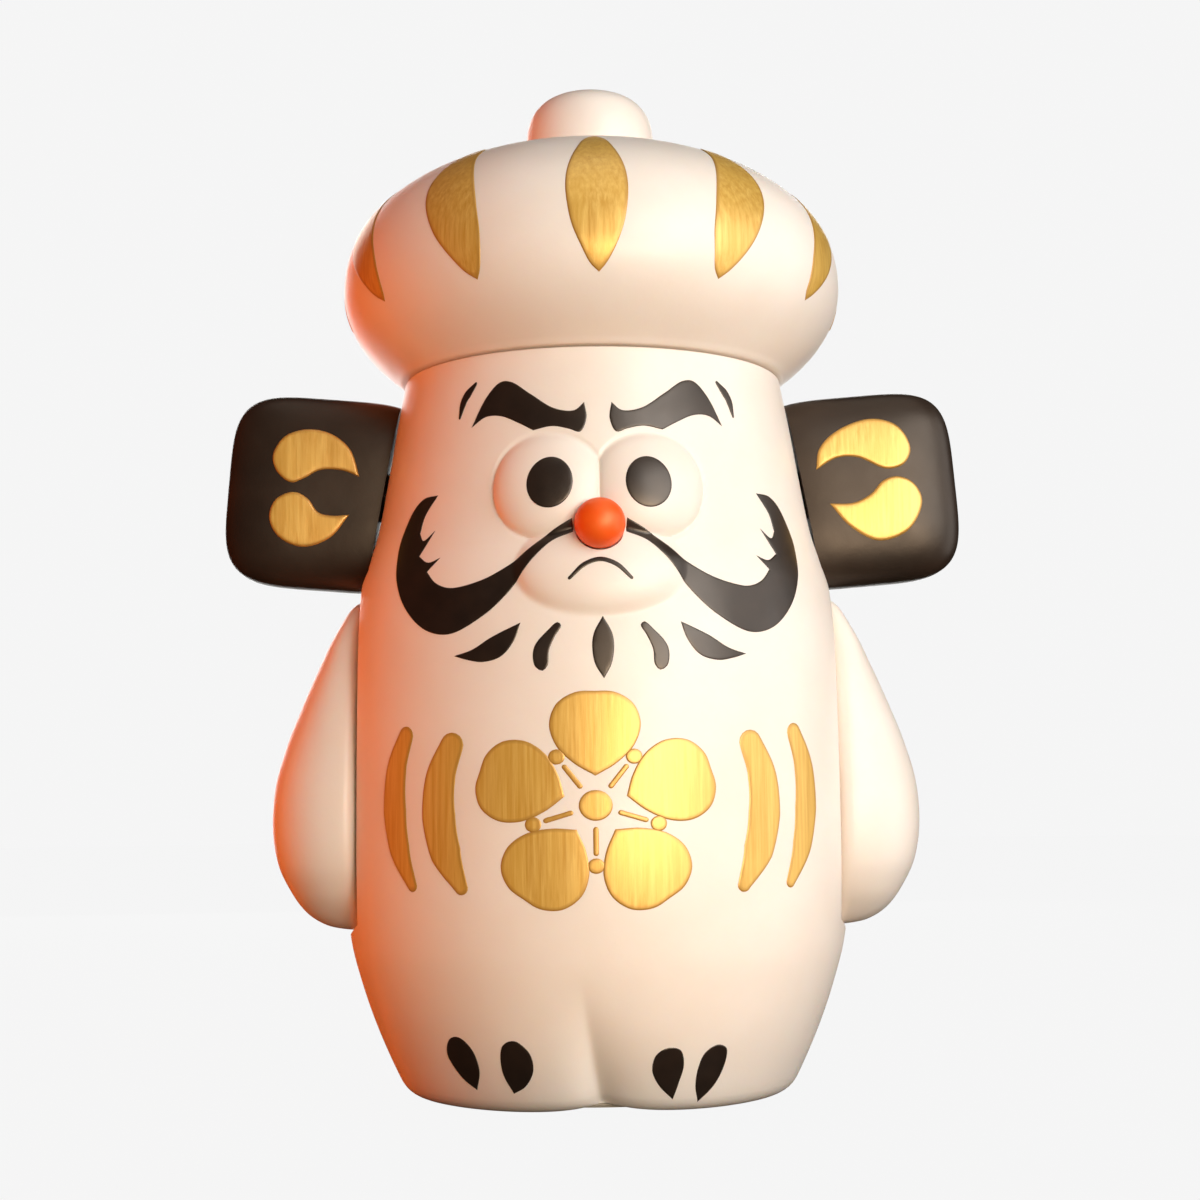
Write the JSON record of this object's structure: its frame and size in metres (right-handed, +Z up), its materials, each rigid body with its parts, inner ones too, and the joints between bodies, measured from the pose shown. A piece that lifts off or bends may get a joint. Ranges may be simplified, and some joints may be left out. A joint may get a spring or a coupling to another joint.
{
  "type": "daruma doll",
  "caption": "Standing hollow vinyl daruma figure with a turning pumpkin-shaped hat, turning hat wings, swinging arms, a separate nose and a weighted flat base.",
  "frame": {"origin": "on the floor, under the middle of the figure, at the centre of the two foot pads", "axes": "+Z up, the face looks along -Y, +X is the figure's left"},
  "size_m": [0.1492, 0.1, 0.201],
  "materials": {
    "cream_vinyl": "satin",
    "black_vinyl": "satin",
    "orange_vinyl": "semi-gloss",
    "gold_paint": "brushed metallic",
    "black_paint": "satin",
    "ivory_abs": "moulded",
    "zinc_steel": "zinc plated",
    "ballast_iron": "as cast",
    "pad_rubber": "matte"
  },
  "bodies": {
    "figure": {"body_shell": "cream_vinyl", "nose_ball": "orange_vinyl", "nose_push_nut": "zinc_steel", "base_plate": "ivory_abs", "ballast_disc": "ballast_iron", "ballast_screw_1": "zinc_steel", "ballast_screw_2": "zinc_steel", "ballast_screw_3": "zinc_steel", "right_foot_pad": "pad_rubber", "left_foot_pad": "pad_rubber"},
    "hat": {"hat_shell": "cream_vinyl", "hat_finial": "cream_vinyl", "neck_spigot": "ivory_abs", "neck_washer": "ivory_abs", "neck_screw": "zinc_steel"},
    "right_arm": {"right_arm": "cream_vinyl", "right_arm_washer": "ivory_abs", "right_arm_screw": "zinc_steel"},
    "left_arm": {"left_arm": "cream_vinyl", "left_arm_washer": "ivory_abs", "left_arm_screw": "zinc_steel"},
    "right_wing": {"right_wing": "black_vinyl", "right_wing_washer": "ivory_abs", "right_wing_screw": "zinc_steel"},
    "left_wing": {"left_wing": "black_vinyl", "left_wing_washer": "ivory_abs", "left_wing_screw": "zinc_steel"}
  },
  "joints": [
    {"name": "hat_turn", "type": "hinge", "parent": "figure", "child": "hat", "pos_m": [0, 0, 0.1405], "axis": [0, 0, 1], "continuous": true},
    {"name": "right_arm_swing", "type": "hinge", "parent": "figure", "child": "right_arm", "pos_m": [-0.0463, 0, 0.076], "axis": [-1, 0, 0], "range_deg": [-110, 115]},
    {"name": "left_arm_swing", "type": "hinge", "parent": "figure", "child": "left_arm", "pos_m": [0.0463, 0, 0.076], "axis": [-1, 0, 0], "range_deg": [-110, 115]},
    {"name": "right_wing_turn", "type": "hinge", "parent": "figure", "child": "right_wing", "pos_m": [-0.0416, 0.004, 0.1183], "axis": [-0.9839, 0, 0.1788], "continuous": true},
    {"name": "left_wing_turn", "type": "hinge", "parent": "figure", "child": "left_wing", "pos_m": [0.0416, 0.004, 0.1183], "axis": [0.9839, 0, 0.1788], "continuous": true}
  ]
}
